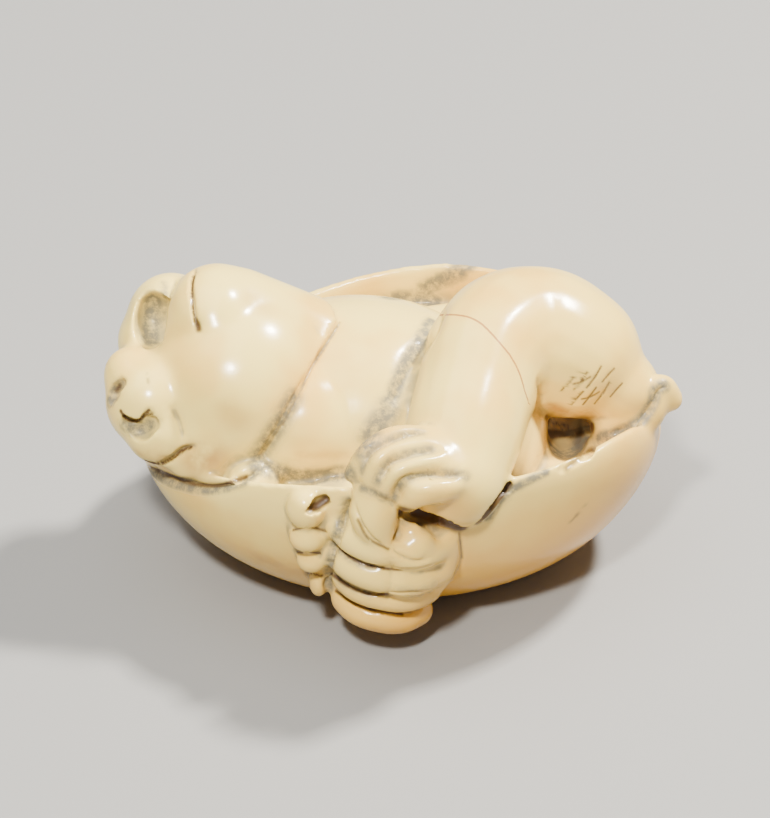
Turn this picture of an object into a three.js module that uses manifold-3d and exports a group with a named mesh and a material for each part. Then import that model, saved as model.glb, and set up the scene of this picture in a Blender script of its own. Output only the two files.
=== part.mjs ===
// A carved netsuke: a snouted animal asleep in a boat-shaped pod, one arm crooked over its back and
// its hands clasped on the pod's near wall. Everything is one solid, as it is cut from one block.
// Millimetres, +Z up, +X towards the pod's stem, +Y away from the clasped hands.
// The origin is the middle of the flat that the pod stands on.
import * as THREE from "three";
import { LoftGeometry } from "three/addons/geometries/LoftGeometry.js";
import { mergeVertices } from "three/addons/utils/BufferGeometryUtils.js";
import Module from "manifold-3d";

const wasm = await Module();
wasm.setup();

// Driving sizes of the pod.
const podHalfLength = 21.7;
const podHalfBreadth = 16.4; // on the near side
const farBreadthShare = 0.97; // the far side is drawn in a little
const rimHeight = 17;
const rimWall = 1.1;
const troughDepth = 3.8;
const standHalfLength = 7.8; // the flat underside, as long as this each way from the middle

// Driving sizes of the animal.
const collarProud = 0.45; // the hood's back edge stands this far over the trunk
const fingerRadius = 1.25;
const fingerPitch = 2.6; // from one finger of the lower hand down to the next
const cordWay = 3.5; // bore of the way for the cord under the crooked arm
const lineWidth = 0.6; // carved lines, half as deep as they are wide

// The figure is set out on a grid that follows the pod, in hundredths of the pod's half length
// along X, of its half breadth along Y, and of its rim height along Z and for every radius.
const span = (hundredths) => (hundredths / 100) * rimHeight;
const spot = ([x, y, z]) => new THREE.Vector3((x / 100) * podHalfLength, (y / 100) * podHalfBreadth, span(z));

const degrees = THREE.MathUtils.degToRad;

// A closed three.js geometry as a solid that can be joined and cut.
function solid(geometry) {
  const bare = new THREE.BufferGeometry();
  bare.setAttribute("position", geometry.getAttribute("position"));
  bare.setIndex(geometry.index);
  const merged = mergeVertices(bare, 1e-4);
  const corners = merged.index.array;
  const triVerts = [];
  for (let i = 0; i < corners.length; i += 3) {
    const [a, b, c] = corners.slice(i, i + 3);
    if (a !== b && b !== c && c !== a) triVerts.push(a, b, c);
  }
  return new wasm.Manifold(
    new wasm.Mesh({
      numProp: 3,
      vertProperties: merged.attributes.position.array,
      triVerts: new Uint32Array(triVerts),
    }),
  );
}

const joined = (solids) => solids.reduce((whole, piece) => whole.add(piece));

// An egg at a place of the grid, with its three half sizes in hundredths, and proud of them in mm.
function egg(at, halfSizes, rings = 10, proud = 0) {
  const geometry = new THREE.SphereGeometry(1, rings * 2, rings);
  geometry.scale(...halfSizes.map((half) => span(half) + proud));
  geometry.translate(...spot(at));
  return solid(geometry);
}

// A round limb through stations { at, radius } in mm, with domed ends.
function limb(stations, rings = 12, sides = 12) {
  const domeSteps = sides > 12 ? [20, 45, 68] : [28, 62];
  const path = new THREE.CatmullRomCurve3(stations.map(({ at }) => at));
  const girth = new THREE.CatmullRomCurve3(stations.map(({ radius }, i) => new THREE.Vector3(i, radius, 0)));
  const frames = path.computeFrenetFrames(rings);
  const ring = (centre, radius, i) =>
    Array.from({ length: sides }, (_, k) => {
      const angle = (k / sides) * 2 * Math.PI;
      return centre
        .clone()
        .addScaledVector(frames.normals[i], radius * Math.cos(angle))
        .addScaledVector(frames.binormals[i], radius * Math.sin(angle));
    });
  const sections = [];
  for (let i = 0; i <= rings; i++) {
    const along = path.getUtoTmapping(i / rings);
    const centre = path.getPoint(along);
    const radius = girth.getPoint(along).y;
    const dome = (step, outward) => {
      const a = degrees(step);
      const shifted = centre.clone().addScaledVector(frames.tangents[i], outward * radius * Math.cos(a));
      return ring(shifted, radius * Math.sin(a), i);
    };
    if (i === 0) sections.push(...domeSteps.map((step) => dome(step, -1)));
    sections.push(ring(centre, radius, i));
    if (i === rings) sections.push(...[...domeSteps].reverse().map((step) => dome(step, 1)));
  }
  return solid(new LoftGeometry(sections, { capStart: true, capEnd: true }));
}

// The same limb from rows of the grid, [x, y, z, radius].
const gridLimb = (rows, rings, sides) =>
  limb(
    rows.map(([x, y, z, r]) => ({ at: spot([x, y, z]), radius: span(r) })),
    rings,
    sides,
  );

// A limb of one width, in mm, through places of the grid.
const evenLimb = (places, width, rings, sides) =>
  limb(
    places.map((place) => ({ at: spot(place), radius: width / 2 })),
    rings,
    sides,
  );

// A point of the pod at an angle about its middle: the plan is an oval, and the rim, and ever less
// of the wall below it, sinks where the head lies on it and at the stem. Share and height are shares
// of the whole.
function podPoint(angle, share, height) {
  const sinkAtHead = 0.34 * Math.max(0, Math.cos(angle - degrees(167))) ** 1.4;
  const sinkAtStem = 0.25 * Math.max(0, Math.cos(angle - degrees(3))) ** 12;
  const sink = sinkAtHead + sinkAtStem;
  const halfBreadth = podHalfBreadth * (Math.sin(angle) > 0 ? farBreadthShare : 1);
  return new THREE.Vector3(
    podHalfLength * share * Math.cos(angle),
    halfBreadth * share * Math.sin(angle),
    rimHeight * height * (1 - sink * height ** 1.5),
  );
}

// The pod is built of level rings: up the hull, over the rim, down into the trough and across it.
function pod() {
  const around = 40;
  const hullSteps = 9;
  const standShare = standHalfLength / podHalfLength;
  const bellyShare = 0.82;
  const rows = [];
  for (let i = 0; i <= hullSteps; i++) {
    const a = ((i / hullSteps) * Math.PI) / 2;
    rows.push([standShare + (1 - standShare) * Math.sin(a) ** 0.9, bellyShare * (1 - Math.cos(a))]);
  }
  const inner = 1 - rimWall / podHalfBreadth;
  const floor = 1 - troughDepth / rimHeight;
  rows.push([0.987, 0.935], [0.96, 0.995], [inner + 0.02, 0.995], [inner, 0.965], [inner - 0.04, floor]);
  rows.push([0.5, floor + 0.02]);
  const sections = rows.map(([share, height]) =>
    Array.from({ length: around }, (_, k) => podPoint((k / around) * 2 * Math.PI, share, height)),
  );
  return solid(new LoftGeometry(sections, { capStart: true, capEnd: true }));
}

// The pod's stem end curls up and out past the rim.
function stem() {
  return gridLimb(
    [
      [82, -20, 79, 13],
      [93, -18, 88, 10.5],
      [98, -14, 99, 6.5],
      [102.5, -12, 90, 6.5],
    ],
    7,
  );
}

const trunkAt = [-16, 3, 76.5];
const trunkHalfSizes = [73, 59, 49];

// The trunk, the near shoulder on it, and the belly that shows beside the crooked arm.
const trunk = () =>
  joined([
    egg(trunkAt, trunkHalfSizes, 11),
    egg([-36, -25, 85], [36, 34, 34], 8),
    egg([39, -20, 75], [22, 48, 34], 7),
  ]);

// A wedge of space behind one side of the collar, which points backwards at the nape.
function behindCollar(side) {
  const facing = new THREE.Vector3(0.864, 0.31 * side, -0.396).normalize();
  const depth = 3 * podHalfLength;
  const away = new THREE.BoxGeometry(depth, depth, depth);
  away.applyQuaternion(new THREE.Quaternion().setFromUnitVectors(new THREE.Vector3(0, 0, 1), facing));
  away.translate(...spot([-23, 2, 129]).addScaledVector(facing, depth / 2));
  return solid(away);
}

// The head and its hood, cut off behind at the collar.
function head() {
  const forms = joined([
    egg(trunkAt, trunkHalfSizes, 11, collarProud),
    egg([-61, -6, 96], [50, 51, 49], 10),
    egg([-69, 2, 127], [26, 30, 27], 8),
    gridLimb([[-62, 6, 127, 24], [-38, 7, 111, 24], [-14, 5, 100, 22]], 4, 12),
    egg([-70, -36, 89], [25, 24.5, 25], 8),
    egg([-73, -49, 82], [19, 14, 14], 6),
    gridLimb([[-71, 0, 126, 20], [-84, -22, 112, 15]], 3, 12),
    egg([-93, -29, 101], [23, 23, 23], 9),
    egg([-89, -39, 92], [19, 19, 17], 7),
    egg([-101, -20, 110], [14, 16, 14], 7),
    egg([-87, 17, 117], [22, 25, 22], 8),
    egg([-92, 10, 109], [20, 22, 19], 7),
  ]);
  return forms.subtract(behindCollar(-1)).subtract(behindCollar(1));
}

// The near arm rises from the haunch, bends over the back and comes down to the near rim.
function nearArm() {
  return gridLimb(
    [
      [83, -8, 93, 19],
      [76, -4, 98, 27],
      [64, 2, 108, 34],
      [49, 5, 113, 36.5],
      [35, -12, 119, 32],
      [28, -39, 113, 29],
      [23, -66, 105, 28],
      [20, -84, 98, 25],
    ],
    15,
    14,
  );
}

// The far arm lies in the trough behind the trunk.
function farArm() {
  return gridLimb(
    [
      [-42, 50, 75, 13],
      [9, 62, 75, 14],
      [42, 54, 83, 18],
    ],
    6,
    10,
  );
}

// Four fingers of the lower hand lie in rings, one above the other and each one drawn in more, with
// a thumb over them and the heel of the hand beside them.
function lowerHand() {
  const middle = spot([-3, -82, 66.5]);
  const knuckleReach = span(27.5);
  const pieces = [egg([-5, -80, 43], [26, 25, 33], 7)];
  for (let i = 0; i < 4; i++) {
    const reach = knuckleReach * (1 - 0.043 * i ** 2);
    const stations = [204, 232, 262, 294, 326].map((turn) => {
      const a = degrees(turn);
      const bend = new THREE.Vector3(Math.cos(a), Math.sin(a), -0.12 * Math.cos(a)).multiplyScalar(reach);
      const drop = new THREE.Vector3(-0.1, 0, -1).multiplyScalar(i * fingerPitch);
      return { at: middle.clone().add(bend).add(drop), radius: fingerRadius };
    });
    pieces.push(limb(stations, 6, 8));
  }
  pieces.push(gridLimb([[-9, -100, 100, 10], [-9, -106, 89, 10.5], [-5.5, -111, 77, 5]], 4, 8));
  pieces.push(gridLimb([[16.6, -92.7, 68, 8.8], [14.3, -93.3, 50.5, 8.8], [7.8, -93.3, 33, 8.8]], 3, 8));
  pieces.push(egg([5.5, -105, 73], [9.5, 9, 9.5], 7));
  pieces.push(egg([1, -97, 82], [10, 9, 10], 6));
  return joined(pieces);
}

// The finger tips lie in a column on the pod's wall, parted by creases, the top one curled round a hole.
function fingerTips() {
  const column = gridLimb(
    [
      [-31.5, -92, 88, 9],
      [-33.5, -93, 78, 9.5],
      [-34.5, -93.5, 65, 9.5],
      [-34, -92, 50, 7.2],
      [-31, -89, 34, 4.6],
      [-29, -87, 26, 3.5],
    ],
    8,
    10,
  );
  const hole = gridLimb([[-33.5, -102, 87, 3], [-29, -103, 90, 3]], 2, 8);
  const creases = [75, 61, 46.5].map((z, i) => {
    const half = 9 - 1.5 * i;
    return evenLimb([[-34 - half, -96 + i, z], [-34, -103.5 + 2.5 * i, z + 1], [-34 + half, -98 + i, z - 1]], 1, 3, 4);
  });
  return joined([column]).subtract(joined([hole, ...creases]));
}

// The upper hand's fingers fan out from the wrist over the rim.
function upperHand() {
  const wrist = [21, -86, 110, 12];
  const fingers = [
    [[-18, -95, 107, 4.5], [-13, -94, 118, 5.5], [-4, -88, 122, 7]],
    [[-11, -102, 111, 5.5], [-7, -100, 119, 6.5], [4, -92, 120, 7.5]],
    [[-5, -107, 109, 6], [-1, -106, 116, 7], [10, -99, 117, 8]],
    [[2, -108, 101, 6], [7, -110, 109, 7.5], [16, -106, 110, 8.5]],
  ];
  const back = egg([15, -93, 106], [12, 8, 9], 7);
  return joined([back, ...fingers.map((rows) => gridLimb([...rows, wrist], 5, 8))]);
}

// The way for the cord runs in beside the belly, under the crooked arm, and out behind it.
function cordHole() {
  const route = [
    [60, -66, 113],
    [62, -50, 93],
    [64, -5, 72],
    [63, 33, 80],
    [61, 49, 104],
  ];
  return evenLimb(route, cordWay, 8, 10);
}

// The face's hollows, the cup, the nostril and the recess under the nose, and its carved lines.
function face() {
  const eye = [[-78.5, 3, 150], [-78, -8, 148], [-77, -17, 144], [-75.5, -22.5, 139]];
  const mouth = [[-96, -54, 85], [-90, -56, 84], [-85, -57, 89], [-81, -56, 92.5], [-75, -58.5, 97]];
  const nose = [[-103.5, -46, 108], [-101.5, -49, 105], [-98, -51, 106], [-94, -50.5, 111], [-91.5, -51.5, 107]];
  const snoutFold = [[-86, -49, 110], [-82.5, -51, 105], [-81.5, -53, 99.5], [-82, -56, 95]];
  return joined([
    egg([-94, 0, 129], [9.5, 16, 14], 8),
    egg([-107, -36, 113], [4, 4, 6], 6),
    egg([-98, -54, 102], [6, 3, 3], 6),
    ...[eye, mouth, nose, snoutFold].map((line) => evenLimb(line, lineWidth, 4, 4)),
  ]);
}

const carving = joined([
  pod(),
  stem(),
  trunk(),
  head(),
  nearArm(),
  farArm(),
  lowerHand(),
  fingerTips(),
  upperHand(),
])
  .subtract(face())
  .subtract(cordHole());

function geometryOf(made) {
  const mesh = made.getMesh();
  const geometry = new THREE.BufferGeometry();
  geometry.setAttribute("position", new THREE.BufferAttribute(mesh.vertProperties, 3));
  geometry.setIndex(new THREE.BufferAttribute(mesh.triVerts, 1));
  geometry.computeVertexNormals();
  return geometry;
}

const ivory = new THREE.MeshStandardMaterial({ color: 0xe9dcb8, roughness: 0.32, metalness: 0 });
const netsuke = new THREE.Mesh(geometryOf(carving), ivory);
netsuke.name = "netsuke";

const part = new THREE.Group();
part.add(netsuke);
export default part;
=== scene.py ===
"""The looks of a carved netsuke: a snouted animal asleep in a boat-shaped pod.

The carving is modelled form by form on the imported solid's grid, joined, softened as polishing does,
and then cut with the fine lines. Lengths are in metres.
"""

import math

import bpy
import numpy as np
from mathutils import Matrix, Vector
from mathutils.bvhtree import BVHTree


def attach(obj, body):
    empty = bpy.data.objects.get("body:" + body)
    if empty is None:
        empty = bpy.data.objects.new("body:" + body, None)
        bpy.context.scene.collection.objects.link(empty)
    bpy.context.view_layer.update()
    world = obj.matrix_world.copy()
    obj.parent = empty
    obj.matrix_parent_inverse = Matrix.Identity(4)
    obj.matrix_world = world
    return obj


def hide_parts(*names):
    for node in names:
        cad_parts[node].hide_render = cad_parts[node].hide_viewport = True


bl_info = {
    "name": "Netsuke carving",
    "version": (1, 0, 0),
    "blender": (4, 5, 0),
    "location": "View3D > Sidebar > Netsuke",
    "description": "Models, carves and finishes a netsuke of an animal asleep in a pod",
    "category": "Add Mesh",
}

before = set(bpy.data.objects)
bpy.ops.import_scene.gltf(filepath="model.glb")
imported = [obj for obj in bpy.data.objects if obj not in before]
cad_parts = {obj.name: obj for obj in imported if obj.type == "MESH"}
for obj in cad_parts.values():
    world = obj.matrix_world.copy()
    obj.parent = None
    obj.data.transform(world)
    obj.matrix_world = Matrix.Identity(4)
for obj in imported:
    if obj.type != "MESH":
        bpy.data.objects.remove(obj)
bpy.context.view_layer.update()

MM = 0.001

# The photograph's frame and the camera that took it, which place the carved lines and the marks.
PHOTO_WIDTH = 770
PHOTO_HEIGHT = 818
CAMERA_ELEVATION = math.radians(38)
CAMERA_TARGET = Vector((-1.24, 0, 12.7)) * MM
CAMERA_DISTANCE = 380 * MM
PIXELS_PER_METRE = 12060
SENSOR = 36

# Carved lines and creases, laid where the photograph shows them: pixels, then reach and depth in mm.
# A line is a narrow groove. A crease is sharp at its bottom, with full round shoulders.
LINES = {
    "eye": ([(195, 266), (191, 285), (192, 298), (194, 315), (198, 331)], 0.3, 0.4),
    "nose": ([(121, 411), (127, 419), (136, 421), (144, 416), (149, 410), (153, 413)], 0.3, 0.5),
    "mouth": ([(140, 459), (159, 464), (173, 458), (183, 450), (199, 445)], 0.45, 0.65),
    "collar_edge": (
        [(341, 321), (326, 345), (313, 366), (295, 403), (283, 425), (270, 446), (262, 460)], 0.25, 0.2
    ),
    "heel": ([(459, 530), (462, 560), (450, 585)], 0.4, 0.15),
}
CREASES = {
    "snout_fold": ([(166, 405), (176, 416), (182, 434), (180, 446)], 0.9, 0.3),
    "cheek_fold": ([(176, 276), (167, 292), (166, 312), (163, 332), (156, 350)], 1.3, 0.5),
    "brow_fold": ([(196, 318), (199, 332)], 0.9, 0.45),
    "jaw_seat": ([(141, 464), (158, 474), (185, 483), (212, 487), (240, 479), (264, 465)], 1.0, 0.7),
    "torso_arm": ([(441, 312), (432, 335), (420, 354), (408, 374), (398, 394), (391, 409)], 1.6, 0.5),
    "thigh_bend": ([(545, 405), (540, 390), (537, 372)], 1.6, 0.3),
    "upper_a": ([(360, 470), (370, 452), (390, 440), (412, 433), (428, 432)], 0.8, 0.5),
    "upper_b": ([(378, 484), (388, 464), (405, 455), (426, 450), (446, 450)], 0.95, 0.65),
    "upper_c": ([(393, 502), (402, 483), (420, 475), (440, 473), (466, 476)], 1.05, 0.75),
    "thumb_left": ([(353, 500), (359, 520), (371, 538), (388, 549)], 0.45, 0.35),
    "thumb_right": ([(399, 508), (401, 525), (391, 547)], 0.6, 0.4),
    "lobe": ([(391, 546), (403, 557), (418, 562), (434, 557)], 0.6, 0.4),
    "finger_1": ([(336, 545), (352, 558), (372, 566), (396, 569), (418, 569), (437, 564)], 0.5, 0.35),
    "finger_2": ([(329, 570), (346, 583), (366, 592), (390, 594), (412, 593), (436, 592)], 0.5, 0.35),
    "finger_3": ([(336, 590), (350, 600), (366, 608), (382, 611), (402, 614), (430, 606)], 0.5, 0.35),
    "knuckles": ([(390, 554), (391, 580), (387, 608)], 1.3, 0.3),
    "side_groove": ([(351, 499), (345, 518), (337, 538), (331, 556), (328, 575), (328, 598)], 0.8, 0.6),
    "stem_hollow": ([(669, 386), (660, 390), (654, 402), (643, 416), (628, 427), (606, 436)], 1.0, 0.5),
}

# Gouges under and between the forms: pixels with a radius in mm, then how far in they lie in mm.
GOUGES = {
    "nostril": ([(111, 402, 0.5), (114, 393, 0.8), (121, 384, 0.55)], 0.2),
    "nose_recess": ([(127, 422, 0.6), (138, 430, 1.0), (150, 424, 0.8)], 0.1),
    "curled_tip": ([(310, 510, 0.45), (317, 505, 0.65), (326, 499, 0.5)], 0.35),
    "hand_recess": ([(402, 512, 0.5), (418, 514, 0.85), (440, 521, 0.95), (460, 528, 0.5)], 0.45),
    "shin_undercut": ([(477, 523, 0.35), (492, 506, 0.5), (508, 485, 0.45)], 0.4),
    "rim_chip": ([(561, 471, 0.35), (571, 463, 0.55), (583, 455, 0.55), (593, 448, 0.35)], -0.15),
}

# Where age has coloured the ivory, and where shade is painted: pixels, then reach in mm and strength.
# Grime is grey and lies in the troughs and folds, the dark brown marks lie in the deepest cuts, and stain
# is a tan blush. In the slot, the gap under the shin and the recess under the hand, the dark brown is
# painted shade.
GRIME = {
    "near_trough": ([(258, 466), (285, 474), (315, 476), (348, 474)], 1.5, 0.9),
    "right_trough": ([(600, 438), (622, 432), (641, 421), (652, 403), (656, 390), (664, 386)], 1.1, 0.85),
    "torso_arm": ([(433, 322), (418, 345), (404, 368), (395, 390), (388, 408)], 1.2, 0.9),
    "torso_low": ([(390, 408), (376, 428), (364, 448)], 2.0, 0.75),
    "hood_low": ([(292, 398), (276, 426), (258, 455)], 1.7, 0.7),
    "cup": ([(154, 300), (151, 318), (150, 340)], 1.7, 0.85),
    "nose_recess": ([(127, 425), (138, 431), (150, 424)], 1.1, 0.8),
    "nostril": ([(111, 403), (115, 392), (121, 384)], 0.9, 0.85),
    "jaw_seat": ([(150, 472), (175, 484), (210, 490), (245, 482), (262, 468)], 0.8, 0.8),
    "slot_wall": ([(552, 448), (560, 456), (574, 452), (584, 442)], 1.9, 1.0),
    "upper_a": ([(362, 470), (372, 450), (395, 438), (420, 433)], 0.9, 0.55),
    "upper_b": ([(377, 482), (388, 463), (405, 455), (430, 450)], 0.9, 0.6),
    "upper_c": ([(392, 500), (402, 483), (420, 475), (445, 474), (466, 476)], 0.9, 0.6),
    "finger_valley_1": ([(335, 545), (353, 560), (371, 566)], 0.7, 0.6),
    "finger_valley_2": ([(329, 570), (346, 584), (370, 594)], 0.7, 0.6),
    "fist_right": ([(400, 590), (420, 590), (434, 585)], 1.0, 0.3),
    "rim_band": ([(511, 490), (528, 481), (546, 472)], 0.7, 0.8),
    "undercut": ([(488, 518), (500, 503), (510, 487)], 0.8, 0.7),
    "far_trough": ([(388, 298), (410, 299), (436, 303)], 1.4, 0.8),
    "far_wall_a": ([(425, 289), (440, 281), (459, 273)], 1.4, 0.8),
    "far_wall_b": ([(455, 269), (472, 266), (486, 265)], 1.0, 0.7),
    "side_groove": ([(350, 500), (338, 532), (331, 562), (328, 592)], 0.9, 0.75),
    "under_upper_hand": ([(362, 488), (376, 493), (392, 500)], 0.8, 0.6),
    "lobe_top": ([(402, 521), (418, 520), (436, 530)], 1.0, 0.5),
    "brow_back": ([(164, 283), (165, 310), (158, 335)], 0.7, 0.5),
}
UMBER_AND_SHADE = {
    "eye": ([(194, 276), (192, 298), (194, 315), (198, 330)], 0.28, 0.75),
    "eye_pit": ([(197, 321), (199, 329)], 0.55, 0.75),
    "nostril": ([(117, 391), (120, 385)], 0.45, 0.6),
    "nose": ([(121, 411), (127, 419), (136, 421), (144, 416), (149, 410)], 0.3, 0.9),
    "nose_corner": ([(145, 415), (151, 414)], 0.5, 0.65),
    "mouth": ([(140, 459), (159, 464), (173, 458), (183, 450), (192, 447)], 0.3, 0.9),
    "jaw_line": ([(146, 465), (172, 476), (196, 484), (220, 485), (246, 477)], 0.45, 0.7),
    "collar": ([(340, 322), (326, 345), (313, 366), (295, 403), (283, 425)], 0.2, 0.4),
    "curled_tip": ([(311, 508), (318, 505), (326, 500)], 0.7, 0.85),
    "tip_1": ([(293, 530), (303, 528), (314, 528), (326, 531)], 0.25, 0.7),
    "tip_2": ([(297, 552), (308, 552), (320, 553)], 0.25, 0.8),
    "tip_3": ([(307, 573), (314, 574), (322, 576)], 0.25, 0.7),
    "thumb_left": ([(358, 520), (368, 538), (388, 549)], 0.3, 0.6),
    "finger_1": ([(340, 548), (355, 560), (375, 567), (400, 570)], 0.3, 0.75),
    "finger_2": ([(332, 574), (350, 587), (370, 594), (390, 594)], 0.3, 0.75),
    "finger_3": ([(336, 591), (350, 601), (366, 608), (382, 611), (402, 614)], 0.3, 0.7),
    # Painted shade under the upper hand's heel.
    "hand_recess": ([(400, 510), (420, 513), (440, 521), (462, 527)], 0.9, 0.95),
    # Painted shadow in the gap under the shin.
    "shin_undercut": ([(478, 523), (494, 504), (508, 483)], 0.6, 0.95),
    # Painted shade in the slot.
    "slot": ([(550, 434), (570, 433), (592, 427)], 0.9, 1.0),
    "thigh_corner": ([(546, 416), (552, 422), (566, 426)], 0.5, 0.6),
    "rim_chip": ([(566, 469), (578, 458), (592, 449)], 0.6, 0.55),
    "hull_streak": ([(571, 521), (577, 515), (584, 507)], 0.35, 0.5),
    "hull_spot": ([(491, 529), (493, 530)], 0.25, 0.6),
    "hull_dot": ([(470, 558), (471, 558)], 0.14, 0.9),
    "arm_dot": ([(503, 314), (504, 314)], 0.14, 0.7),
    "snout_mark": ([(147, 374), (149, 384)], 0.25, 0.45),
    "heel": ([(459, 532), (462, 558)], 0.25, 0.5),
}
STAIN = {
    "jaw": ([(196, 462), (212, 460)], 2.6, 0.8),
    "cheek": ([(228, 410), (238, 420)], 1.8, 0.35),
    "brow": ([(252, 300), (264, 308)], 1.7, 0.3),
    "inner_corner": ([(551, 406), (564, 411)], 0.9, 0.8),
    "snout_low": ([(140, 452), (162, 457)], 1.4, 0.45),
    "shin_low": ([(440, 500), (468, 512)], 1.8, 0.35),
    "hull_left": ([(262, 560), (300, 572)], 2.4, 0.5),
    "torso_edge": ([(300, 455), (345, 455)], 0.7, 0.3),
    "fist_low": ([(356, 628), (400, 634)], 1.4, 0.5),
}

# A thin reddish crack crosses the crooked arm. It is colour only.
CRACK = [
    (440, 315), (457, 315), (471, 318), (484, 326), (499, 342), (511, 357), (519, 372), (524, 388), (528, 401)
]
CRACK_REACH = 0.8
CRACK_RUN = 0.75

# Rows of shallow strokes on the thigh, where the carver's marks are. They are no letters.
STROKE_ROWS = (
    [(566, 384), (580, 381), (594, 377), (607, 375)],
    [(576, 398), (589, 396), (602, 393), (615, 390)],
)
STROKE_LEAN = (7, -10)
STROKE_REACH = 0.2
STROKE_DEPTH = 0.13
STROKE_DARK_REACH = 0.19
STROKE_DARKNESS = 0.65

# Places and half sizes on the carving's grid, in hundredths, as spot and span read them.
TRUNK_AT = (-16, 3, 76.5)
TRUNK_HALF_SIZES = (73, 59, 49)

# The lower hand's fingers from the top one down: how far below it each lies, its reach and radius in mm.
LOWER_FINGERS = ((0, 4.6, 1.3), (2.7, 4.5, 1.4), (5.3, 3.8, 1.2), (8.0, 3.1, 1.4))

# How far the pod's rim sinks, as a share of its height, and where: at the head and at the stem.
HEAD_SINK = 0.34
HEAD_SINK_TURN = math.radians(167)
STEM_SINK = 0.25
STEM_SINK_TURN = math.radians(3)
HULL_STEPS = 28
HULL_BELLY = 0.82

# Reaches in mm within which faces are split for the cuts and for the marks and the crack.
CUT_SPLIT = 0.55
MARK_SPLIT = 0.25

# How far in mm a place looks for shelter, and in how many directions.
SHELTER_REACH = 5
SHELTER_RAYS = 14

# The studio's lights: name, place and size in metres, power in watts, colour.
LIGHTS = (
    ("key", (0.24, 0.16, 0.44), 0.06, 9.0, (1, 0.96, 0.88)),
    ("front", (-0.08, -0.28, 0.45), 0.05, 5.0, (1, 0.97, 0.90)),
    ("sky", (-0.15, 0.05, 0.60), 0.50, 2.5, (0.97, 0.98, 1)),
)
WORLD_COLOUR = (0.9, 0.93, 1, 1)
WORLD_STRENGTH = 0.3


class NetsukeForm(bpy.types.PropertyGroup):
    """Sizes of the carving."""

    half_length: bpy.props.FloatProperty(
        name="Pod half length", description="Middle of the pod to its end", default=21.7 * MM, unit="LENGTH"
    )
    half_breadth: bpy.props.FloatProperty(
        name="Pod half breadth",
        description="Middle of the pod to its near side",
        default=16.4 * MM,
        unit="LENGTH",
    )
    far_share: bpy.props.FloatProperty(
        name="Far breadth share", description="Far half breadth over the near one", default=0.97
    )
    rim_height: bpy.props.FloatProperty(
        name="Rim height", description="Height of the pod's rim", default=17 * MM, unit="LENGTH"
    )
    rim_wall: bpy.props.FloatProperty(
        name="Rim wall", description="Thickness of the pod's rim", default=1.1 * MM, unit="LENGTH"
    )
    trough_depth: bpy.props.FloatProperty(
        name="Trough depth", description="Rim down to the trough", default=3.8 * MM, unit="LENGTH"
    )
    stand_half_length: bpy.props.FloatProperty(
        name="Stand half length",
        description="Half length of the flat underside",
        default=7.8 * MM,
        unit="LENGTH",
    )
    collar_proud: bpy.props.FloatProperty(
        name="Collar", description="How far the hood stands over the trunk", default=0.45 * MM, unit="LENGTH"
    )
    cord_way: bpy.props.FloatProperty(
        name="Cord way", description="Bore of the way for the cord", default=3.5 * MM, unit="LENGTH"
    )
    coarse: bpy.props.FloatProperty(
        name="Coarse grain", description="Voxel of the soft forms", default=0.3 * MM, unit="LENGTH"
    )
    middling: bpy.props.FloatProperty(
        name="Middling grain", description="Voxel of the hands", default=0.22 * MM, unit="LENGTH"
    )
    fine: bpy.props.FloatProperty(
        name="Fine grain", description="Voxel of the joined carving", default=0.17 * MM, unit="LENGTH"
    )
    tool_grain: bpy.props.FloatProperty(
        name="Tool grain", description="Voxel of the gouges", default=0.13 * MM, unit="LENGTH"
    )
    plain_triangles: bpy.props.IntProperty(
        name="Triangles", description="Triangles before the lines are cut", default=110000
    )


class NetsukeLook(bpy.types.PropertyGroup):
    """Colours of the ivory, of what has settled in it, and of the painted shade."""

    pale: bpy.props.FloatVectorProperty(
        name="Pale ivory",
        description="Most of the surface",
        subtype="COLOR",
        size=4,
        default=(0.92, 0.70, 0.19, 1),
    )
    # Also painted shade: towards the bottom the pod is made darker and warmer in colour.
    warm_tone_and_low_shade: bpy.props.FloatVectorProperty(
        name="Warm ivory",
        description="Handled and aged places",
        subtype="COLOR",
        size=4,
        default=(0.80, 0.40, 0.04, 1),
    )
    grime: bpy.props.FloatVectorProperty(
        name="Grime",
        description="Grey dirt in the hollows",
        subtype="COLOR",
        size=4,
        default=(0.14, 0.13, 0.095, 1),
    )
    # Also painted shade in the bore, the slot, the gap under the shin and the recess under the hand.
    umber_and_shade: bpy.props.FloatVectorProperty(
        name="Umber",
        description="Brown in the undercuts",
        subtype="COLOR",
        size=4,
        default=(0.055, 0.018, 0.006, 1),
    )
    stain: bpy.props.FloatVectorProperty(
        name="Stain",
        description="Tan blush of age",
        subtype="COLOR",
        size=4,
        default=(0.50, 0.25, 0.05, 1),
    )
    crack: bpy.props.FloatVectorProperty(
        name="Crack",
        description="Reddish line in the arm",
        subtype="COLOR",
        size=4,
        default=(0.36, 0.12, 0.04, 1),
    )
    floor: bpy.props.FloatVectorProperty(
        name="Floor",
        description="Plain pale floor",
        subtype="COLOR",
        size=4,
        default=(0.26, 0.255, 0.245, 1),
    )


def form():
    return bpy.context.scene.netsuke_form


def span(hundredths):
    """A length of the grid, in hundredths of the rim height."""
    return hundredths / 100 * form().rim_height


def spot(place):
    """A place of the grid: hundredths of the half length, the half breadth and the rim height."""
    x, y, z = place
    return Vector((x / 100 * form().half_length, y / 100 * form().half_breadth, span(z)))


def only(piece):
    """Selects one piece alone and makes it active."""
    bpy.ops.object.select_all(action="DESELECT")
    piece.select_set(True)
    bpy.context.view_layer.objects.active = piece
    return piece


def settled(name):
    """The active object with its place in its mesh, under its own name."""
    piece = bpy.context.view_layer.objects.active
    bpy.ops.object.transform_apply(location=True, rotation=True, scale=True)
    piece.name = name
    piece.data.name = name
    return piece


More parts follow.
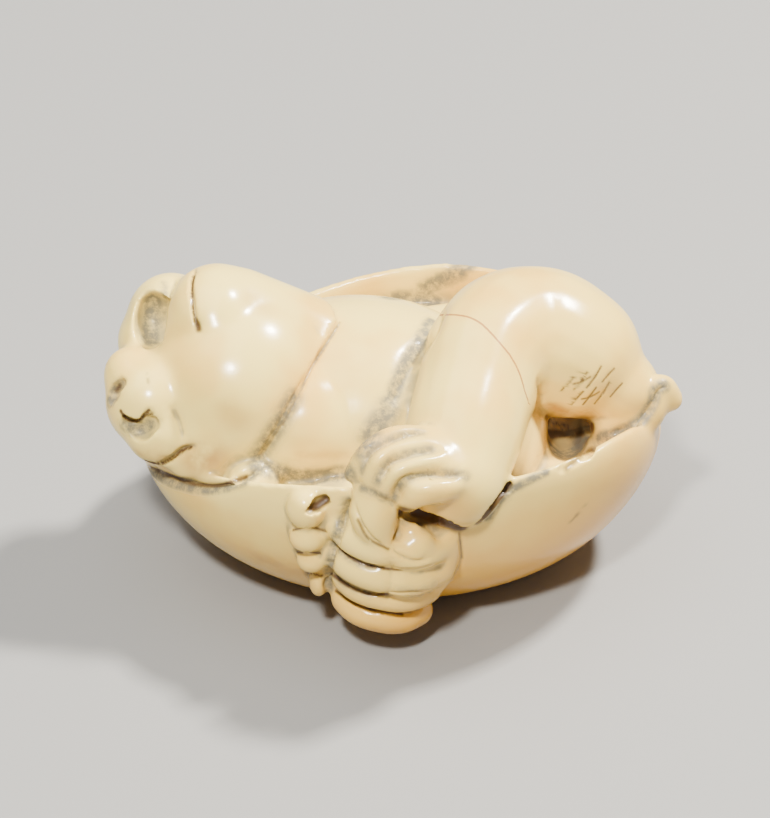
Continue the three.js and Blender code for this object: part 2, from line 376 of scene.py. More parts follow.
def egg(at, half_sizes, proud=0.0, name="egg"):
    """An ellipsoid at a place of the grid, with half sizes in hundredths."""
    bpy.ops.object.select_all(action="DESELECT")
    scale = [span(half) + proud for half in half_sizes]
    bpy.ops.mesh.primitive_uv_sphere_add(segments=48, ring_count=24, radius=1, location=spot(at), scale=scale)
    return settled(name)


def limb(stations, name="limb"):
    """A round limb through stations (place in metres, radius), with domed ends."""
    bpy.ops.object.select_all(action="DESELECT")
    bpy.ops.curve.primitive_bezier_curve_add()
    curve = bpy.context.view_layer.objects.active
    spline = curve.data.splines[0]
    spline.bezier_points.add(len(stations) - 2)
    for point, (at, radius) in zip(spline.bezier_points, stations):
        point.co = at
        point.radius = radius
        point.handle_left_type = "AUTO"
        point.handle_right_type = "AUTO"
    spline.radius_interpolation = "CARDINAL"
    spline.resolution_u = 10
    curve.data.bevel_depth = 1.0
    curve.data.bevel_resolution = 8
    curve.data.use_fill_caps = True
    only(curve)
    bpy.ops.object.convert(target="MESH")
    tube = bpy.context.view_layer.objects.active
    domes = []
    for at, radius in (stations[0], stations[-1]):
        bpy.ops.object.select_all(action="DESELECT")
        bpy.ops.mesh.primitive_uv_sphere_add(segments=32, ring_count=16, radius=radius, location=at)
        domes.append(bpy.context.view_layer.objects.active)
    return joined([tube, *domes], name)


def grid_limb(rows, name="limb"):
    """A limb from rows of the grid: place and radius, in hundredths."""
    return limb([(spot(row[:3]), span(row[3])) for row in rows], name)


def joined(pieces, name):
    """One object of several, each closed in itself."""
    only(pieces[0])
    for piece in pieces:
        piece.select_set(True)
    bpy.ops.object.join()
    return settled(name)


def with_modifier(piece, kind, **settings):
    """Adds a modifier to the piece and applies it."""
    only(piece)
    bpy.ops.object.modifier_add(type=kind)
    modifier = piece.modifiers[-1]
    for key, value in settings.items():
        setattr(modifier, key, value)
    bpy.ops.object.modifier_apply(modifier=modifier.name)
    return piece


def melted(piece, voxel, passes):
    """Fuses a piece's closed shells into one skin and softens it."""
    with_modifier(piece, "REMESH", mode="VOXEL", voxel_size=voxel)
    if passes:
        with_modifier(piece, "SMOOTH", factor=0.5, iterations=passes)
    return piece


def cut(piece, tool):
    """Takes the tool's space out of the piece."""
    with_modifier(piece, "BOOLEAN", operation="DIFFERENCE", solver="MANIFOLD", object=tool)
    bpy.data.objects.remove(tool)
    return piece


def pod_rows():
    """The pod's rings, as shares of the plan and of the rim's height."""
    sizes = form()
    stand = sizes.stand_half_length / sizes.half_length
    rows = []
    for i in range(HULL_STEPS + 1):
        a = i / HULL_STEPS * math.pi / 2
        rows.append((stand + (1 - stand) * math.sin(a) ** 0.9, HULL_BELLY * (1 - math.cos(a))))
    inner = 1 - sizes.rim_wall / sizes.half_breadth
    floor = 1 - sizes.trough_depth / sizes.rim_height
    rows += [(0.996, 0.89), (0.987, 0.935), (0.975, 0.975), (0.96, 0.995)]
    rows += [(inner + 0.02, 0.995), (inner, 0.965), (inner - 0.015, 0.92)]
    rows += [(inner - 0.04, floor), (0.5, floor + 0.02)]
    return rows


def pod_point(angle, share, height):
    """A point of the pod: the rim, and ever less of the wall below it, sinks at the head and at the stem."""
    sizes = form()
    sink = HEAD_SINK * max(0, math.cos(angle - HEAD_SINK_TURN)) ** 1.4
    sink += STEM_SINK * max(0, math.cos(angle - STEM_SINK_TURN)) ** 12
    breadth = sizes.half_breadth * (sizes.far_share if math.sin(angle) > 0 else 1)
    return Vector(
        (
            sizes.half_length * share * math.cos(angle),
            breadth * share * math.sin(angle),
            sizes.rim_height * height * (1 - sink * height**1.5),
        )
    )


class NETSUKE_OT_pod(bpy.types.Operator):
    """Model the boat-shaped pod and its curled stem"""

    bl_idname = "netsuke.pod"
    bl_label = "Pod"

    def execute(self, context):
        rows = pod_rows()
        bpy.ops.object.select_all(action="DESELECT")
        bpy.ops.mesh.primitive_circle_add(vertices=128, radius=1, fill_type="NGON")
        shell = context.view_layer.objects.active
        bpy.ops.object.mode_set(mode="EDIT")
        for _ in rows[1:]:
            bpy.ops.mesh.extrude_region_move(TRANSFORM_OT_translate={"value": (0, 0, 1)})
        bpy.ops.object.mode_set(mode="OBJECT")
        for vertex in shell.data.vertices:
            share, height = rows[round(vertex.co.z)]
            vertex.co = pod_point(math.atan2(vertex.co.y, vertex.co.x), share, height)
        bpy.ops.object.mode_set(mode="EDIT")
        bpy.ops.mesh.select_all(action="SELECT")
        bpy.ops.mesh.normals_make_consistent(inside=False)
        bpy.ops.object.mode_set(mode="OBJECT")
        stem = grid_limb([(82, -20, 79, 13), (93, -18, 88, 10.5), (98, -14, 99, 6.5), (102.5, -12, 90, 6.5)])
        melted(joined([shell, stem], "form_pod"), form().coarse, 6)
        return {"FINISHED"}


class NETSUKE_OT_trunk(bpy.types.Operator):
    """Model the trunk, the belly beside the crooked arm, and the far arm"""

    bl_idname = "netsuke.trunk"
    bl_label = "Trunk"

    def execute(self, context):
        trunk = egg(TRUNK_AT, TRUNK_HALF_SIZES)
        shoulder = egg((-36, -25, 85), (36, 34, 34))
        belly = egg((39, -20, 75), (22, 48, 34))
        far_arm = grid_limb([(-42, 50, 75, 13), (9, 62, 75, 14), (42, 54, 83, 18)])
        armpit = egg((-55, -60, 76), (14, 13, 12))
        melted(joined([trunk, shoulder, belly, far_arm, armpit], "form_trunk"), form().coarse, 6)
        return {"FINISHED"}


class NETSUKE_OT_head(bpy.types.Operator):
    """Model the head and its hood, cut off behind along the collar"""

    bl_idname = "netsuke.head"
    bl_label = "Head"

    def execute(self, context):
        forms = [
            egg(TRUNK_AT, TRUNK_HALF_SIZES, form().collar_proud),
            egg((-61, -6, 96), (50, 51, 49)),
            egg((-69, 2, 127), (26, 30, 27)),
            grid_limb([(-62, 6, 127, 24), (-38, 7, 111, 24), (-14, 5, 100, 22)]),
            egg((-70, -36, 89), (25, 24.5, 25)),
            egg((-73, -49, 82), (19, 14, 14)),
            grid_limb([(-71, 0, 126, 20), (-84, -22, 112, 15)]),
            egg((-93, -29, 101), (23, 23, 23)),
            egg((-89, -39, 92), (19, 19, 17)),
            egg((-101, -20, 110), (14, 16, 14)),
            egg((-87, 17, 117), (22, 25, 22)),
            egg((-92, 10, 109), (20, 22, 19)),
        ]
        head = melted(joined(forms, "form_head"), form().coarse, 26)
        cut(head, egg((-94, 0, 129), (9.5, 16, 14)))
        only(head)
        bpy.ops.object.mode_set(mode="EDIT")
        for side in (-1, 1):
            bpy.ops.mesh.select_all(action="SELECT")
            bpy.ops.mesh.bisect(
                plane_co=spot((-23, 2, 129)),
                plane_no=Vector((0.864, 0.31 * side, -0.396)).normalized(),
                use_fill=True,
                clear_outer=True,
            )
        bpy.ops.object.mode_set(mode="OBJECT")
        return {"FINISHED"}


class NETSUKE_OT_near_arm(bpy.types.Operator):
    """Model the arm that bends over the back and comes down to the rim, with the upper hand"""

    bl_idname = "netsuke.near_arm"
    bl_label = "Near arm"

    def execute(self, context):
        arm = [
            (83, -8, 93, 20),
            (76, -4, 99, 28.5),
            (64, 2, 107.5, 34.5),
            (49, 5, 113, 36.5),
            (35, -12, 119, 32),
            (28, -39, 113, 29),
            (23, -66, 105, 28),
            (20, -84, 98, 25),
        ]
        wrist = (21, -86, 110, 12)
        fingers = [
            [(-18, -95, 107, 4.5), (-13, -94, 118, 5.5), (-4, -88, 122, 7)],
            [(-11, -102, 111, 5.5), (-7, -100, 119, 6.5), (4, -92, 120, 7.5)],
            [(-5, -107, 109, 6), (-1, -106, 116, 7), (10, -99, 117, 8)],
            [(2, -108, 101, 6), (7, -110, 109, 7.5), (16, -106, 110, 8.5)],
        ]
        hand = [egg((15, -93, 106), (12, 8, 9)), *(grid_limb([*rows, wrist]) for rows in fingers)]
        melted(joined([grid_limb(arm), *hand], "form_near_arm"), form().coarse, 12)
        return {"FINISHED"}


class NETSUKE_OT_hands(bpy.types.Operator):
    """Model the clasped hands and the finger tips beside them"""

    bl_idname = "netsuke.hands"
    bl_label = "Hands"

    def lower_hand(self):
        middle = spot((-3, -82, 72.5))
        pieces = [egg((-5, -80, 43), (26, 25, 33))]
        for drop, reach, radius in LOWER_FINGERS:
            stations = []
            for turn in (204, 232, 262, 294, 334):
                a = math.radians(turn)
                droop = 0.12 if math.cos(a) < 0 else 0.3
                bend = Vector((math.cos(a), math.sin(a), -droop * math.cos(a))) * reach * MM
                stations.append((middle + bend + Vector((-0.1, 0, -1)) * drop * MM, radius * MM))
            pieces.append(limb(stations))
        pieces.append(grid_limb([(-9.5, -100, 100, 11), (-9.5, -106, 89, 11.5), (-5.5, -111, 77, 5)]))
        pieces.append(egg((5.5, -105, 73), (9.5, 9, 9.5)))
        pieces.append(egg((1, -97, 82), (10, 9, 10)))
        pieces.append(grid_limb([(15.5, -92.7, 68, 9.5), (13.5, -93.3, 50.5, 9.5), (7.8, -92, 35, 8.8)]))
        pieces.append(grid_limb([(-24, -90, 82, 6), (-25, -89, 60, 6), (-24, -85, 34, 5)]))
        return pieces

    def finger_tips(self):
        return [
            egg((-35, -93, 85.5), (9.5, 9, 10.5)),
            egg((-34.5, -94, 69), (9, 8, 7.5)),
            egg((-33, -92, 54), (7.5, 7.5, 7)),
            egg((-30.5, -88, 37), (5, 6.5, 9)),
        ]

    def execute(self, context):
        hands = joined([*self.lower_hand(), *self.finger_tips()], "form_hands")
        melted(hands, form().middling, 5)
        return {"FINISHED"}


class NETSUKE_OT_block(bpy.types.Operator):
    """Fuse the forms into one block and drill the way for the cord"""

    bl_idname = "netsuke.block"
    bl_label = "Fuse the forms"

    def execute(self, context):
        names = ("form_pod", "form_trunk", "form_head", "form_near_arm", "form_hands")
        forms = [bpy.data.objects[name] for name in names]
        block = melted(joined(forms, "netsuke_carving"), form().fine, 0)
        route = [(60, -66, 113), (62, -50, 93), (64, -5, 72), (63, 33, 80), (61, 49, 104)]
        way = limb([(spot(place), form().cord_way / 2) for place in route])
        cut(block, melted(way, form().coarse, 0))
        with_modifier(block, "SMOOTH", factor=0.5, iterations=4)
        return {"FINISHED"}


def camera_axes():
    """The photograph's camera: its place, and its forward, right and up directions."""
    e = CAMERA_ELEVATION
    forward = Vector((0, math.cos(e), -math.sin(e)))
    right = Vector((1, 0, 0))
    up = Vector((0, math.sin(e), math.cos(e)))
    return CAMERA_TARGET - forward * CAMERA_DISTANCE, forward, right, up


def seen_at(tree, pixel):
    """The point of the surface that the photograph shows at a pixel."""
    eye, forward, right, up = camera_axes()
    focal = PIXELS_PER_METRE * CAMERA_DISTANCE
    u, v = pixel
    ray = forward + right * ((u - PHOTO_WIDTH / 2) / focal) - up * ((v - PHOTO_HEIGHT / 2) / focal)
    hit = tree.ray_cast(eye, ray.normalized())[0]
    return hit


def arrays(piece):
    """The piece's vertex places and normals as arrays."""
    mesh = piece.data
    places = np.zeros(len(mesh.vertices) * 3)
    mesh.vertices.foreach_get("co", places)
    normals = np.zeros(len(mesh.vertices) * 3)
    mesh.vertices.foreach_get("normal", normals)
    return places.reshape(-1, 3), normals.reshape(-1, 3)


def surface_tree(piece):
    places, _ = arrays(piece)
    return BVHTree.FromPolygons([Vector(p) for p in places], [tuple(f.vertices) for f in piece.data.polygons])


def photo_curve(points):
    """A smooth run through points of the photograph, each a pixel and what else goes with it."""
    knots = [np.array(point, dtype=float) for point in points]
    knots = [2 * knots[0] - knots[1], *knots, 2 * knots[-1] - knots[-2]]
    run = []
    for a, b, c, d in zip(knots, knots[1:], knots[2:], knots[3:]):
        steps = max(1, round(np.linalg.norm((c - b)[:2]) / 3))
        for t in np.arange(steps) / steps:
            bend = (2 * a - 5 * b + 4 * c - d) * t**2 + (3 * b - a - 3 * c + d) * t**3
            run.append(b + 0.5 * ((c - a) * t + bend))
    return [*run, knots[-2]]


def line_on(tree, pixels):
    """A line of pixels laid on the surface, as closely set points."""
    found = [hit for pixel in photo_curve(pixels) if (hit := seen_at(tree, pixel)) is not None]
    points = [np.array(found[0])]
    for a, b in zip(found, found[1:]):
        gap = (b - a).length
        steps = max(1, round(gap / (0.1 * MM))) if gap < 1.2 * MM else 1
        points += [np.array(a.lerp(b, i / steps)) for i in range(1, steps + 1)]
    return np.array(points)


def distance_to(places, points, reach):
    """Each place's distance to the nearest of the points, reach where it is further off, and which point."""
    found = np.full(len(places), float(reach))
    which = np.zeros(len(places), dtype=int)
    low, high = points.min(0) - reach, points.max(0) + reach
    near = np.where(np.all((places > low) & (places < high), axis=1))[0]
    for start in range(0, len(near), 4000):
        some = near[start : start + 4000]
        gaps = np.linalg.norm(places[some][:, None, :] - points[None, :, :], axis=2)
        which[some] = gaps.argmin(1)
        found[some] = np.minimum(gaps.min(1), reach)
    return found, which


def end_fade(points, fade):
    """For each of a line's points, how far the cut has reached its full depth there."""
    run = np.concatenate([[0], np.cumsum(np.linalg.norm(np.diff(points, axis=0), axis=1))])
    return np.clip(np.minimum(run, run[-1] - run) / fade, 0.15, 1)


def groove(share):
    """A narrow line's profile, from its middle at one to its edge at nought."""
    return share * share * (3 - 2 * share)


def crease(share):
    """A crease's profile: sharp at the bottom, with round shoulders."""
    return share**2


def subdivided_near(piece, lines, reach):
    """Splits the faces close to the lines, so that what is cut there is crisp."""
    places, _ = arrays(piece)
    near = np.zeros(len(places), dtype=bool)
    for points in lines:
        near |= distance_to(places, points, reach)[0] < reach
    only(piece)
    bpy.ops.object.mode_set(mode="EDIT")
    bpy.ops.mesh.select_mode(type="VERT")
    bpy.ops.mesh.select_all(action="DESELECT")
    bpy.ops.object.mode_set(mode="OBJECT")
    piece.data.vertices.foreach_set("select", near)
    bpy.ops.object.mode_set(mode="EDIT")
    bpy.ops.mesh.select_mode(type="FACE")
    bpy.ops.mesh.subdivide(number_cuts=1, ngon=False)
    bpy.ops.mesh.select_all(action="SELECT")
    bpy.ops.mesh.quads_convert_to_tris()
    bpy.ops.object.mode_set(mode="OBJECT")


def strokes():
    """The marks on the thigh: leaning strokes in rows, some crossed by a shorter one."""
    lean_u, lean_v = STROKE_LEAN
    marks = []
    for row in STROKE_ROWS:
        for i, (u, v) in enumerate(row):
            half = 0.65 + 0.2 * (i % 3)
            foot = (u - lean_u * half, v - lean_v * half)
            marks.append([foot, (u + 1, v), (u + lean_u, v + lean_v * half)])
            if i % 3 == 1:
                marks.append([(u - lean_u, v + 3), (u + 1, v + 1), (u + lean_u + 3, v - 4)])
    return marks


class NETSUKE_OT_gouges(bpy.types.Operator):
    """Gouge out the hollows that lie between and under the forms"""

    bl_idname = "netsuke.gouges"
    bl_label = "Gouges"

    def execute(self, context):
        block = bpy.data.objects["netsuke_carving"]
        tree = surface_tree(block)
        forward = camera_axes()[1]
        tools = []
        for rows, sink in GOUGES.values():
            stations = []
            for u, v, radius in rows:
                hit = seen_at(tree, (u, v))
                stations.append((hit + forward * sink * MM, radius * MM))
            tools.append(limb(stations))
        tool = melted(joined(tools, "gouges"), form().tool_grain, 1)
        cut(block, tool)
        melted(block, form().fine, 2)
        block.data.calc_loop_triangles()
        kept_share = min(1, form().plain_triangles / len(block.data.loop_triangles))
        with_modifier(block, "DECIMATE", ratio=kept_share)
        return {"FINISHED"}


class NETSUKE_OT_lines(bpy.types.Operator):
    """Cut the lines and creases of the face and the hands"""

    bl_idname = "netsuke.lines"
    bl_label = "Lines and creases"

    def execute(self, context):
        block = bpy.data.objects["netsuke_carving"]
        tree = surface_tree(block)
        cuts = [(line_on(tree, pixels), reach, depth, groove) for pixels, reach, depth in LINES.values()]
        cuts += [(line_on(tree, pixels), reach, depth, crease) for pixels, reach, depth in CREASES.values()]
        cuts += [(line_on(tree, stroke), STROKE_REACH, STROKE_DEPTH, groove) for stroke in strokes()]
        subdivided_near(block, [points for points, *_ in cuts], CUT_SPLIT * MM)
        fine_marks = [line_on(tree, stroke) for stroke in strokes()]
        subdivided_near(block, [*fine_marks, line_on(tree, CRACK)], MARK_SPLIT * MM)
        places, normals = arrays(block)
        sunk = np.zeros(len(places))
        for points, reach, depth, profile in cuts:
            distance, which = distance_to(places, points, reach * MM)
            share = profile(1 - distance / (reach * MM)) * end_fade(points, 1.2 * MM)[which]
            sunk = np.maximum(sunk, depth * MM * share)
        places -= normals * sunk[:, None]
        block.data.vertices.foreach_set("co", places.ravel())
        block.data.update()
        with_modifier(block, "SMOOTH", factor=0.4, iterations=1)
        return {"FINISHED"}


def neighbour_mean(values, edges, passes):
    """Values evened out over the mesh, each vertex with its neighbours."""
    count = len(values)
    a, b = edges[:, 0], edges[:, 1]
    valence = np.bincount(a, minlength=count) + np.bincount(b, minlength=count)
    valence = np.maximum(valence, 1)
    for _ in range(passes):
        total = np.bincount(a, weights=values[b], minlength=count)
        total = total + np.bincount(b, weights=values[a], minlength=count)
        values = 0.5 * values + 0.5 * total / valence
    return values


def mask(piece, name, values):
    """Stores one number for each vertex under a name that the material reads."""
    attribute = piece.data.attributes.new(name, "FLOAT", "POINT")
    attribute.data.foreach_set("value", np.clip(values, 0, 1).astype(np.float32))


def laid(tree, places, marks):
    """How strongly each place is marked by the nearest of a group of marks."""
    strength = np.zeros(len(places))
    for pixels, reach, most in marks.values():
        distance, _ = distance_to(places, line_on(tree, pixels), reach * MM)
        strength = np.maximum(strength, most * groove(1 - distance / (reach * MM)))
    return strength


def shelter(tree, places, normals, reach, count):
    """For each place, the share of directions out of the surface that meet the carving within reach."""
    golden = math.pi * (3 - math.sqrt(5))
    blocked = np.zeros(len(places))
    spreads = [(math.sqrt((i + 0.5) / count), golden * i) for i in range(count)]
    for index, (place, normal) in enumerate(zip(places, normals)):
        axis = Vector(normal)
        side = axis.orthogonal().normalized()
        other = axis.cross(side)
        start = Vector(place) + axis * 0.05 * MM
        for out, turn in spreads:
            ray = side * (out * math.cos(turn)) + other * (out * math.sin(turn))
            ray = ray + axis * math.sqrt(1 - out * out)
            if tree.ray_cast(start, ray, reach)[0] is not None:
                blocked[index] += 1
    return blocked / count


def beside_crack(tree, places):
    """Signed distance to the crack in mm, one side of it positive, and where the crack runs at all."""
    points = line_on(tree, CRACK)
    distance, which = distance_to(places, points, CRACK_REACH * MM)
    along = np.gradient(points, axis=0)[which]
    across = np.cross(along, camera_axes()[1])
    side = np.sign(((places - points[which]) * across).sum(1))
    return side * distance / MM, distance < CRACK_RUN * MM


class NETSUKE_OT_patina_and_shade(bpy.types.Operator):
    """Find the hollows that hold grime, the places that age has coloured, and where shade is painted"""

    bl_idname = "netsuke.patina"
    bl_label = "Patina and shade"

    def execute(self, context):
        block = bpy.data.objects["netsuke_carving"]
        tree = surface_tree(block)
        places, normals = arrays(block)
        edges = np.zeros(len(block.data.edges) * 2, dtype=np.int64)
        block.data.edges.foreach_get("vertices", edges)
        edges = edges.reshape(-1, 2)
        hollow = np.zeros(len(places))
        for passes, scale in ((12, 0.05 * MM), (90, 0.28 * MM)):
            smooth = np.stack([neighbour_mean(places[:, i], edges, passes) for i in range(3)], axis=1)
            depth = ((smooth - places) * normals).sum(1)
            hollow = np.maximum(hollow, depth / scale)
        mask(block, "hollow", neighbour_mean(np.clip(hollow, 0, 1), edges, 2))
        sheltered = shelter(tree, places, normals, SHELTER_REACH * MM, SHELTER_RAYS)
        mask(block, "shelter", neighbour_mean(sheltered, edges, 3))
        mask(block, "grime", laid(tree, places, GRIME))
        marks = dict(UMBER_AND_SHADE)
        for i, stroke in enumerate(strokes()):
            marks[f"stroke_{i}"] = (stroke, STROKE_DARK_REACH, STROKE_DARKNESS)
        mask(block, "umber_and_shade", laid(tree, places, marks))
        mask(block, "stain", laid(tree, places, STAIN))
        crack, runs = beside_crack(tree, places)
        mask(block, "crack", 0.5 + 0.5 * crack)
        mask(block, "crack_runs", runs.astype(float))
        sizes = form()
        # Warmer and darker in colour towards the bottom, and warmer towards the right; towards the bottom
        # this is painted shade.
        low = np.clip(1 - places[:, 2] / sizes.rim_height, 0, 1)
        right = np.clip(0.5 + places[:, 0] / (2 * sizes.half_length), 0, 1)
        mask(block, "warmth", 1.2 * low**3 + 1.6 * low * right**2 + 0.35 * right**3)
        return {"FINISHED"}


def link(tree, a, b):
    tree.links.new(a, b)


def node(tree, kind, at, **values):
    """A node at a place of the editor with some of its inputs set."""
    made = tree.nodes.new(kind)
    made.location = at
    for key, value in values.items():
        made.inputs[key.replace("_", " ").title() if key.islower() else key].default_value = value
    return made


def noise(tree, coordinates, scale, detail, at, roughness=0.5):
    made = node(tree, "ShaderNodeTexNoise", at, scale=scale, detail=detail, roughness=roughness)
    link(tree, coordinates, made.inputs["Vector"])
    return made.outputs["Fac"]


def ramp(tree, value, low, high, at, least=0.0):
    """A value stretched so that low becomes the least, mostly nought, and high becomes one."""
    made = tree.nodes.new("ShaderNodeMapRange")
    made.location = at
    made.interpolation_type = "SMOOTHSTEP"
    made.inputs["From Min"].default_value = low
    made.inputs["From Max"].default_value = high
    made.inputs["To Min"].default_value = least
    link(tree, value, made.inputs["Value"])
    return made.outputs["Result"]


def mixed(tree, share, a, b, at):
    """Colour a turning into colour b by a share."""
    made = tree.nodes.new("ShaderNodeMix")
    made.data_type = "RGBA"
    made.location = at
    for socket, value in ((made.inputs[6], a), (made.inputs[7], b)):
        if isinstance(value, bpy.types.NodeSocket):
            link(tree, value, socket)
        else:
            socket.default_value = value
    link(tree, share, made.inputs["Factor"])
    return made.outputs[2]


def product(tree, a, b, at):
    made = tree.nodes.new("ShaderNodeMath")
    made.operation = "MULTIPLY"
    made.location = at
    link(tree, a, made.inputs[0])
    if isinstance(b, bpy.types.NodeSocket):
        link(tree, b, made.inputs[1])
    else:
        made.inputs[1].default_value = b
    return made.outputs[0]


def greater(tree, a, b, at):
    """The greater of two values."""
    made = tree.nodes.new("ShaderNodeMath")
    made.operation = "MAXIMUM"
    made.location = at
    link(tree, a, made.inputs[0])
    link(tree, b, made.inputs[1])
    return made.outputs[0]


def stored(tree, name, at):
    made = tree.nodes.new("ShaderNodeAttribute")
    made.attribute_name = name
    made.location = at
    return made.outputs["Fac"]


def ivory():
    """Polished ivory, pale and warmer by turns, with grime, brown cuts and stains where age left them, and
    painted shade in the bore, the slot, the undercuts and low on the pod.
    """
    look = bpy.context.scene.netsuke_look
    material = bpy.data.materials.new("ivory")
    material.use_nodes = True
    tree = material.node_tree
    shader = tree.nodes["Principled BSDF"]
    shader.inputs["IOR"].default_value = 1.5
    shader.inputs["Specular IOR Level"].default_value = 0.4
    shader.inputs["Subsurface Weight"].default_value = 0.1
    shader.inputs["Subsurface Scale"].default_value = 0.7 * MM
    shader.inputs["Subsurface Radius"].default_value = (1, 0.8, 0.5)
    shader.inputs["Coat Weight"].default_value = 0.08
    shader.inputs["Coat Roughness"].default_value = 0.1
    coordinates = tree.nodes.new("ShaderNodeTexCoord")
    coordinates.location = (-1800, 0)
    place = coordinates.outputs["Object"]

    cloud = ramp(tree, noise(tree, place, 95, 3, (-1600, 600)), 0.44, 0.72, (-1400, 600))
    cloud_share = product(tree, cloud, 0.6, (-1200, 600))
    base = mixed(tree, cloud_share, look.pale, look.warm_tone_and_low_shade, (-1000, 600))
    # Darker and warmer towards the bottom, which is painted shade, and warmer towards the right.
    base = mixed(tree, stored(tree, "warmth", (-1200, 450)), base, look.warm_tone_and_low_shade, (-850, 600))

    blotch = ramp(tree, noise(tree, place, 420, 4, (-1600, 350)), 0.25, 0.55, (-1400, 350))
    stain_share = product(tree, stored(tree, "stain", (-1400, 250)), blotch, (-1200, 300))
    base = mixed(tree, stain_share, base, look.stain, (-700, 600))

    speck = ramp(tree, noise(tree, place, 1500, 5, (-1600, 50), 0.7), 0.3, 0.6, (-1400, 50), 0.45)
    film = ramp(tree, noise(tree, place, 600, 4, (-1600, -100)), 0.3, 0.6, (-1400, -100), 0.3)
    dirt = ramp(tree, stored(tree, "hollow", (-1600, -250)), 0.3, 1.0, (-1400, -250))
    sheltered = ramp(tree, stored(tree, "shelter", (-1600, -400)), 0.4, 0.8, (-1400, -400))
    held = product(tree, greater(tree, dirt, sheltered, (-1200, -300)), film, (-1000, -300))
    settled_dirt = ramp(tree, stored(tree, "grime", (-1600, -550)), 0.0, 0.7, (-1400, -550))
    patches = product(tree, settled_dirt, speck, (-1200, -550))
    held = product(tree, held, 0.6, (-850, -300))
    # Painted shade: the most sheltered places, such as the bore and the slot, turn dark brown.
    painted_deep_shade = ramp(tree, stored(tree, "shelter", (-1600, -900)), 0.68, 0.92, (-1400, -900))
    base = mixed(tree, product(tree, painted_deep_shade, 0.95, (-1200, -900)), base, look.umber_and_shade, (-600, 600))
    grime_share = greater(tree, held, product(tree, patches, 0.92, (-1000, -550)), (-700, -400))
    colour = mixed(tree, grime_share, base, look.grime, (-500, 500))
    # Dark brown in the cuts, with painted shade in the slot, the gap under the shin and the recess under the
    # hand.
    cuts = ramp(tree, stored(tree, "umber_and_shade", (-1600, -700)), 0.0, 0.75, (-1400, -700))
    colour = mixed(tree, product(tree, cuts, 0.92, (-1200, -700)), colour, look.umber_and_shade, (-300, 500))

    from_crack = tree.nodes.new("ShaderNodeMath")
    from_crack.operation = "COMPARE"
    from_crack.location = (-1400, -1050)
    from_crack.inputs[1].default_value = 0.5
    from_crack.inputs[2].default_value = 0.045
    link(tree, stored(tree, "crack", (-1600, -1050)), from_crack.inputs[0])
    crack_runs = stored(tree, "crack_runs", (-1400, -1200))
    crack_share = product(tree, from_crack.outputs[0], crack_runs, (-1200, -1050))
    crack_share = product(tree, crack_share, 0.8, (-1000, -1050))
    colour = mixed(tree, crack_share, colour, look.crack, (0, 500))
    link(tree, colour, shader.inputs["Base Color"])

    rough = tree.nodes.new("ShaderNodeMapRange")
    rough.location = (-500, -500)
    rough.inputs["To Min"].default_value = 0.22
    rough.inputs["To Max"].default_value = 0.7
    link(tree, greater(tree, grime_share, painted_deep_shade, (-700, -500)), rough.inputs["Value"])
    link(tree, rough.outputs["Result"], shader.inputs["Roughness"])

    bump = tree.nodes.new("ShaderNodeBump")
    bump.location = (-300, -700)
    bump.inputs["Strength"].default_value = 0.3
    bump.inputs["Distance"].default_value = 0.03 * MM
    link(tree, noise(tree, place, 1100, 6, (-500, -800)), bump.inputs["Height"])
    link(tree, bump.outputs["Normal"], shader.inputs["Normal"])
    return material


class NETSUKE_OT_finish(bpy.types.Operator):
    """Give the carving its polished ivory"""

    bl_idname = "netsuke.finish"
    bl_label = "Finish"

    def execute(self, context):
        block = only(bpy.data.objects["netsuke_carving"])
        bpy.ops.object.shade_smooth()
        block.data.materials.clear()
        block.data.materials.append(ivory())
        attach(block, "root")
        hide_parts("netsuke")
        return {"FINISHED"}


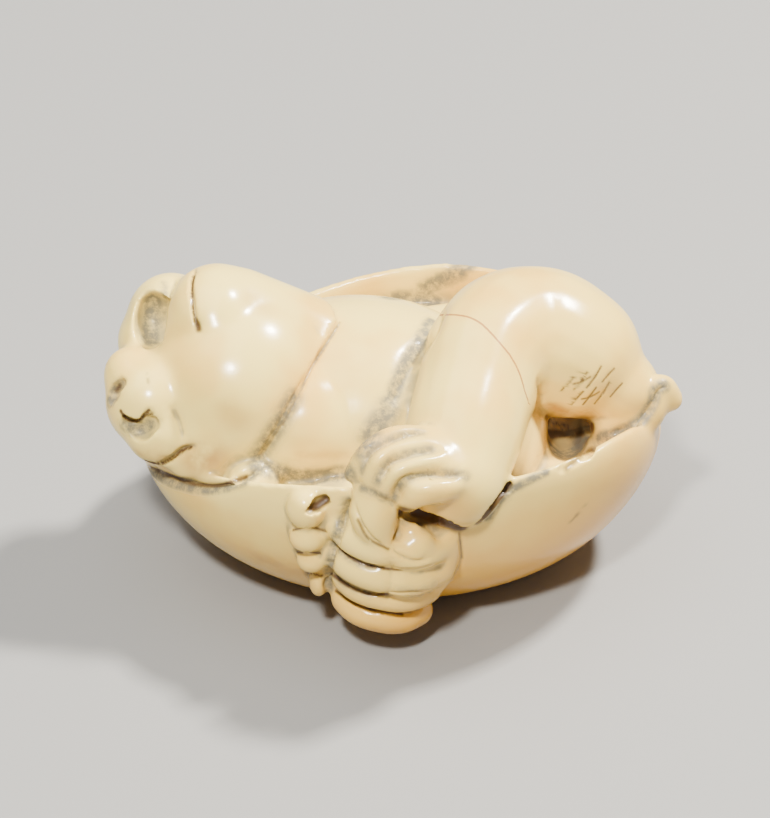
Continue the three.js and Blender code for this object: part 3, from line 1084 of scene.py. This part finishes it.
class NETSUKE_OT_stage(bpy.types.Operator):
    """Set up the floor, the studio lights and the camera"""

    bl_idname = "netsuke.stage"
    bl_label = "Stage"

    def softbox(self, name, place, size, power, warmth):
        bpy.ops.object.light_add(type="AREA", location=place)
        light = bpy.context.view_layer.objects.active
        light.name = name
        light.data.size = size
        light.data.energy = power
        light.data.color = warmth
        light.rotation_euler = (CAMERA_TARGET - Vector(place)).to_track_quat("-Z", "Y").to_euler()

    def execute(self, context):
        look = context.scene.netsuke_look
        bpy.ops.object.select_all(action="DESELECT")
        bpy.ops.mesh.primitive_plane_add(size=4)
        floor = settled("floor")
        material = bpy.data.materials.new("pale_floor")
        material.use_nodes = True
        material.node_tree.nodes["Principled BSDF"].inputs["Base Color"].default_value = look.floor
        material.node_tree.nodes["Principled BSDF"].inputs["Roughness"].default_value = 0.6
        floor.data.materials.append(material)
        for light in LIGHTS:
            self.softbox(*light)
        world = bpy.data.worlds.new("studio")
        world.use_nodes = True
        world.node_tree.nodes["Background"].inputs["Color"].default_value = WORLD_COLOUR
        world.node_tree.nodes["Background"].inputs["Strength"].default_value = WORLD_STRENGTH
        context.scene.world = world
        eye, forward, _, _ = camera_axes()
        bpy.ops.object.camera_add(location=eye)
        camera = context.view_layer.objects.active
        camera.name = "camera"
        camera.rotation_euler = forward.to_track_quat("-Z", "Y").to_euler()
        camera.data.sensor_width = SENSOR
        camera.data.lens = PIXELS_PER_METRE * CAMERA_DISTANCE * SENSOR / PHOTO_HEIGHT
        camera.data.clip_start = 0.01
        camera.data.clip_end = 10
        context.scene.camera = camera
        return {"FINISHED"}


class NETSUKE_PT_panel(bpy.types.Panel):
    """Sizes, colours and steps of the netsuke"""

    bl_idname = "NETSUKE_PT_panel"
    bl_label = "Netsuke"
    bl_space_type = "VIEW_3D"
    bl_region_type = "UI"
    bl_category = "Netsuke"

    def draw(self, context):
        for group in (context.scene.netsuke_form, context.scene.netsuke_look):
            box = self.layout.box()
            for key in group.__annotations__:
                box.prop(group, key)
        for step in STEPS:
            self.layout.operator(step.bl_idname)


STEPS = (
    NETSUKE_OT_pod,
    NETSUKE_OT_trunk,
    NETSUKE_OT_head,
    NETSUKE_OT_near_arm,
    NETSUKE_OT_hands,
    NETSUKE_OT_block,
    NETSUKE_OT_gouges,
    NETSUKE_OT_lines,
    NETSUKE_OT_patina_and_shade,
    NETSUKE_OT_finish,
    NETSUKE_OT_stage,
)

GROUPS = (NetsukeForm, NetsukeLook)


def register():
    for cls in (*GROUPS, *STEPS, NETSUKE_PT_panel):
        bpy.utils.register_class(cls)
    bpy.types.Scene.netsuke_form = bpy.props.PointerProperty(type=NetsukeForm)
    bpy.types.Scene.netsuke_look = bpy.props.PointerProperty(type=NetsukeLook)


def unregister():
    del bpy.types.Scene.netsuke_look
    del bpy.types.Scene.netsuke_form
    for cls in reversed((*GROUPS, *STEPS, NETSUKE_PT_panel)):
        bpy.utils.unregister_class(cls)


def main():
    register()
    bpy.ops.netsuke.pod()
    bpy.ops.netsuke.trunk()
    bpy.ops.netsuke.head()
    bpy.ops.netsuke.near_arm()
    bpy.ops.netsuke.hands()
    bpy.ops.netsuke.block()
    bpy.ops.netsuke.gouges()
    bpy.ops.netsuke.lines()
    bpy.ops.netsuke.patina()
    bpy.ops.netsuke.finish()
    bpy.ops.netsuke.stage()


if __name__ == "__main__":
    main()
